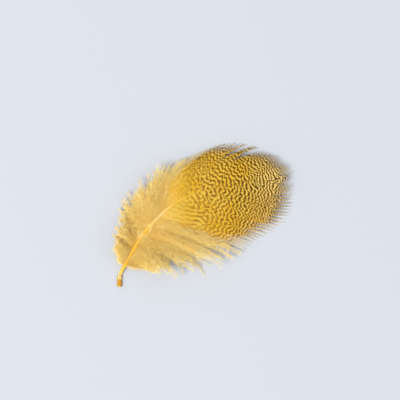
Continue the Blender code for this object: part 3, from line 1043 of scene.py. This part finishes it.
def noise_at(tree, scale, detail=3.0):
    """Noise on the piece's own coordinates, with scale in waves per metre."""
    place = tree.nodes.new("ShaderNodeTexCoord")
    noise = tree.nodes.new("ShaderNodeTexNoise")
    noise.inputs["Scale"].default_value = scale
    noise.inputs["Detail"].default_value = detail
    tree.links.new(place.outputs["Object"], noise.inputs["Vector"])
    return noise.outputs["Fac"]


print("a finish hands over:", *FINISH_OUTPUTS)

# %% The dye as a node group
DYE_DRIFT, BARB_GRAIN = 160.0, 5000.0  # waves per metre
DYE_ROUGHNESS = (0.5, 0.68)
TONES = (0.8, 1.08)  # how bright the darkest and the lightest barbs are
DRIFT_RANGE, EDGE_RANGE, CORE_RANGE = (0.35, 0.7), (0.0, 0.6), (0.4, 1.0)


def dye_group():
    """Color = dye drifting to deep dye, then pale dye where Pale is 1, the bars, and all shaded by Tone.

    A bar turns from dye to its edge colour over the first half of Bar and to dark over the rest.
    """
    inputs = {name: COLOUR for name in ("Dye", "Deep dye", "Pale dye", "Edge", "Dark")}
    inputs |= {name: NUMBER for name in ("Bar", "Pale", "Tone")}
    group, given, result = new_group("uneven_dye", inputs, FINISH_OUTPUTS)
    drift = ranged(group, noise_at(group, DYE_DRIFT), DRIFT_RANGE, WHOLE)
    edge = ranged(group, given["Bar"], EDGE_RANGE, WHOLE)
    core = ranged(group, given["Bar"], CORE_RANGE, WHOLE)
    colour = given["Dye"]
    for factor, layer in ((drift, "Deep dye"), (given["Pale"], "Pale dye"), (edge, "Edge"), (core, "Dark")):
        colour = blend_colours(group, factor, colour, given[layer])
    colour = shaded(group, colour, ranged(group, given["Tone"], WHOLE, TONES))
    group.links.new(colour, result["Color"])
    group.links.new(ranged(group, drift, WHOLE, DYE_ROUGHNESS), result["Roughness"])
    group.links.new(noise_at(group, BARB_GRAIN, 2.0), result["Height"])
    return group


uneven_dye = dye_group()
print(uneven_dye.name, "has", len(uneven_dye.nodes), "nodes")

# %% [markdown]
# Barbs are thin horn, so light comes through them. A diffuse surface alone looks like painted card: mixing
# in a translucent shader lets the glow of the far side through, which gives the silky edge of the vane.

# %% Feather materials
FEATHER_SHEEN = 0.18
FEATHER_RELIEF = (0.25, 0.00003)  # strength, and depth in metres


def new_material(name, specular):
    """A material, its node tree and its Principled shader."""
    material = bpy.data.materials.new(name)
    material.use_nodes = True
    surface = material.node_tree.nodes["Principled BSDF"]
    surface.inputs["Specular IOR Level"].default_value = specular
    return material, material.node_tree, surface


def attribute(tree, name):
    """The value that a piece carries under this name."""
    node = tree.nodes.new("ShaderNodeAttribute")
    node.attribute_name = name
    return node.outputs["Fac"]


def finished_with(group, tree, surface, strength, depth):
    """A finish group's sockets, with its outputs linked to a shader, the height through a Bump node."""
    finish = tree.nodes.new("ShaderNodeGroup")
    finish.node_tree = group
    bump = tree.nodes.new("ShaderNodeBump")
    bump.inputs["Strength"].default_value = strength
    bump.inputs["Distance"].default_value = depth
    tree.links.new(finish.outputs["Color"], surface.inputs["Base Color"])
    tree.links.new(finish.outputs["Roughness"], surface.inputs["Roughness"])
    tree.links.new(finish.outputs["Height"], bump.inputs["Height"])
    tree.links.new(bump.outputs["Normal"], surface.inputs["Normal"])
    return finish.inputs


def let_light_through(tree, surface, colour, share):
    """Mixes a Translucent shader of one colour into the surface by a fixed share."""
    glow = tree.nodes.new("ShaderNodeBsdfTranslucent")
    glow.inputs["Color"].default_value = (*colour, 1.0)
    both = tree.nodes.new("ShaderNodeMixShader")
    both.inputs[0].default_value = share
    tree.links.new(surface.outputs[0], both.inputs[1])
    tree.links.new(glow.outputs[0], both.inputs[2])
    tree.links.new(both.outputs[0], tree.nodes["Material Output"].inputs["Surface"])


def feather_material(name, colours, glow, carried):
    """Dyed horn: the uneven dye feeds a Principled shader, and light passes through a fixed share of it."""
    material, tree, surface = new_material(name, FEATHER_SHEEN)
    finish = finished_with(uneven_dye, tree, surface, *FEATHER_RELIEF)
    for socket, colour in colours.items():
        finish[socket].default_value = (*colour, 1.0)
    for socket in carried:
        tree.links.new(attribute(tree, socket.lower()), finish[socket])
    let_light_through(tree, surface, *glow)
    return material


VANE_COLOURS = {
    "Dye": (0.66, 0.465, 0.055),
    "Deep dye": (0.66, 0.385, 0.01),
    "Edge": (0.42, 0.2, 0.012),
    "Dark": (0.09, 0.042, 0.0),
    "Pale dye": (0.88, 0.84, 0.62),
}
DOWN_COLOURS = {"Dye": (0.95, 0.765, 0.27), "Deep dye": (0.94, 0.63, 0.11), "Pale dye": (0.98, 0.87, 0.45)}
SHEATH_COLOURS = {"Dye": (0.86, 0.62, 0.2), "Deep dye": (0.8, 0.5, 0.1), "Pale dye": (0.95, 0.84, 0.52)}
VANE_GLOW = ((0.87, 0.66, 0.05), 0.33)  # colour and share of the light that comes through
DOWN_GLOW = ((0.99, 0.87, 0.39), 0.45)
SHEATH_GLOW = ((0.9, 0.75, 0.35), 0.3)
vane_finish = feather_material("barred_vane", VANE_COLOURS, VANE_GLOW, ("Bar", "Pale", "Tone"))
down_finish = feather_material("gold_down", DOWN_COLOURS, DOWN_GLOW, ("Pale", "Tone"))
dry_sheath = feather_material("dry_sheath", SHEATH_COLOURS, SHEATH_GLOW, ("Pale", "Tone"))
print("materials:", vane_finish.name, down_finish.name, dry_sheath.name)

# %% [markdown]
# The quill and shaft are solid horn: brown at the plucked end and orange gold above it, with a pale painted
# highlight near the vane, faint patches and fine lengthwise lines. A ramp along the shaft holds those
# colours, since they change only with the place on it, and a group adds the grain.

# %% Horn
HORN_COLOURS_AND_HIGHLIGHT = [  # share of the shaft, and the colour there
    (0.0, (0.53, 0.29, 0.015)),
    (0.03, (0.6, 0.34, 0.02)),
    (0.044, (0.94, 0.7, 0.2)),
    (0.09, (0.95, 0.57, 0.03)),
    (0.28, (0.94, 0.59, 0.05)),
    # the pale stop is a painted highlight on the shaft, not a colour of the horn
    (0.37, (0.97, 0.81, 0.4)),
    (0.45, (0.92, 0.6, 0.06)),
]
SHAFT_BARS = (0.15, 0.07, 0.005)
HORN_GLOW = ((0.97, 0.7, 0.2), 0.5)
HORN_SHEEN = 0.3
HORN_RELIEF = (0.3, 0.00005)
HORN_PATCHES = 900.0  # waves per metre
HORN_SHADES, HORN_ROUGHNESS = (1.03, 0.9), (0.42, 0.62)
GRAIN_STRETCH, GRAIN_SCALE = (24.0, 3.0, 1.0), 2.0  # round the shaft and along it, on its flat map


def horn_group():
    """Color = Tint with faint dull patches, Roughness of the same patches, Height of fine lengthwise lines.

    The lines are noise that is read eight times finer round the shaft than along it, from its own flat map.
    """
    group, given, result = new_group("grained_horn", {"Tint": COLOUR}, FINISH_OUTPUTS)
    patches = ranged(group, noise_at(group, HORN_PATCHES), DRIFT_RANGE, WHOLE)
    colour = shaded(group, given["Tint"], ranged(group, patches, WHOLE, HORN_SHADES))
    group.links.new(colour, result["Color"])
    group.links.new(ranged(group, patches, WHOLE, HORN_ROUGHNESS), result["Roughness"])
    place = group.nodes.new("ShaderNodeUVMap")
    place.uv_map = "OFBake"
    stretch = group.nodes.new("ShaderNodeMapping")
    stretch.inputs["Scale"].default_value = GRAIN_STRETCH
    lines = group.nodes.new("ShaderNodeTexNoise")
    lines.inputs["Scale"].default_value = GRAIN_SCALE
    group.links.new(place.outputs[0], stretch.inputs["Vector"])
    group.links.new(stretch.outputs[0], lines.inputs["Vector"])
    group.links.new(lines.outputs["Fac"], result["Height"])
    return group


def horn_material():
    """The horn's colours along the shaft with a painted highlight, its bars further up, the grain, and
    light passing through.
    """
    material, tree, surface = new_material("horn", HORN_SHEEN)
    node = tree.nodes.new("ShaderNodeValToRGB")
    stops = node.color_ramp.elements
    while len(stops) < len(HORN_COLOURS_AND_HIGHLIGHT):
        stops.new(0.5)
    for stop, (place, colour) in zip(stops, HORN_COLOURS_AND_HIGHLIGHT):
        stop.position = place
        stop.color = (*colour, 1.0)
    tree.links.new(attribute(tree, "along"), node.inputs[0])
    barred = blend_colours(tree, attribute(tree, "bar"), node.outputs[0], (*SHAFT_BARS, 1.0))
    tree.links.new(barred, finished_with(horn_group(), tree, surface, *HORN_RELIEF)["Tint"])
    let_light_through(tree, surface, *HORN_GLOW)
    return material


horn = horn_material()
print("material:", horn.name)

# %% [markdown]
# Each piece rides on the one body there is and stands in for the solid feather. Everything soft is mesh
# already, so nothing is simulated.

# %% Dress the pieces and hang them on the frame
DRESS = [
    (vane_finish, "vane", vanes + combs),
    (down_finish, "down", down_tubes + curls + fluff),
    (horn, "quill", [shaft]),
    (dry_sheath, "quill", [flakes]),
]
for finish, slot, pieces in DRESS:
    for piece in pieces:
        piece.data.materials.append(finish)
        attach(piece, "root")
        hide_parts("feather")
    print(finish.name, "dresses", ", ".join(piece.name for piece in pieces))

# %% [markdown]
# The stage is a sheet of pale paper under one large soft lamp and a dim, even sky. The lamp stands to the
# lower left of the picture, which throws the soft shadow above and to the right of the feather.

# %% Floor, lamp and sky
FLOOR_SIZE = 2.0
FLOOR_DROP = 0.00005  # below the feather
PAPER = (0.386, 0.4, 0.428)
LAMP_TOWARDS = -0.5 * PHOTO_RIGHT - 0.25 * PHOTO_UP + UP
LAMP_DISTANCE, LAMP_SIZE, LAMP_POWER = 2.5, 0.9, 77.5
SKY, SKY_STRENGTH = (0.95, 0.97, 1.0), 0.916


def make_floor():
    """A flat square just under the feather."""
    half = FLOOR_SIZE / 2
    corners = [(x * half, y * half, -FLOOR_DROP) for x, y in ((-1, -1), (1, -1), (1, 1), (-1, 1))]
    mesh = bpy.data.meshes.new("floor")
    mesh.from_pydata(corners, [], [(0, 1, 2, 3)])
    floor = bpy.data.objects.new("floor", mesh)
    bpy.context.scene.collection.objects.link(floor)
    paper, _, surface = new_material("paper", 0.1)
    surface.inputs["Base Color"].default_value = (*PAPER, 1.0)
    surface.inputs["Roughness"].default_value = 0.9
    mesh.materials.append(paper)


def make_lamp():
    """A square area lamp that looks back at the feather from its direction."""
    data = bpy.data.lights.new("key", "AREA")
    data.shape = "SQUARE"
    data.size = LAMP_SIZE
    data.energy = LAMP_POWER
    lamp = bpy.data.objects.new("key", data)
    lamp.location = unit(LAMP_TOWARDS) * LAMP_DISTANCE
    lamp.rotation_mode = "QUATERNION"
    lamp.rotation_quaternion = lamp.location.to_track_quat("Z", "Y")
    bpy.context.scene.collection.objects.link(lamp)


make_floor()
make_lamp()
world = bpy.data.worlds.new("sky")
world.use_nodes = True
sky = world.node_tree.nodes["Background"]
sky.inputs["Color"].default_value = (*SKY, 1.0)
sky.inputs["Strength"].default_value = SKY_STRENGTH
bpy.context.scene.world = world
bpy.context.scene.view_settings.view_transform = "Standard"
print("stage: a floor", FLOOR_SIZE, "m wide, one lamp and a sky")

# %% [markdown]
# The photo looks straight down. A long lens from far up keeps the edges square, and the camera is rolled so
# that the quill points down and to the left.

# %% Camera
MM_PER_PIXEL = 0.35
PHOTO_WIDTH = 400
QUILL_PIXEL = (119.5, 286.5)  # where the quill's end lies in the photo, from its top left corner
LENS, SENSOR = 200.0, 36.0
CLIP_START, CLIP_END = 0.05, 10.0

right, down = QUILL_PIXEL
from_quill = (PHOTO_WIDTH / 2 - right) * PHOTO_RIGHT + (down - PHOTO_WIDTH / 2) * PHOTO_UP
middle = (from_quill * MM_PER_PIXEL + TO_SOLID) * MM
distance = PHOTO_WIDTH * MM_PER_PIXEL * MM * LENS / SENSOR
camera_data = bpy.data.cameras.new("camera")
camera_data.lens = LENS
camera_data.sensor_width = SENSOR
camera_data.clip_start = CLIP_START
camera_data.clip_end = CLIP_END
camera = bpy.data.objects.new("camera", camera_data)
camera.location = (middle[0], middle[1], distance)
camera.rotation_euler = (0.0, 0.0, -ROLL)
bpy.context.scene.collection.objects.link(camera)
bpy.context.scene.camera = camera
print(f"camera {1000 * distance:.0f} mm above the floor")

# %% [markdown]
# The strands may pass the box of the solid by a millimetre or so at the loose margins, and no more.
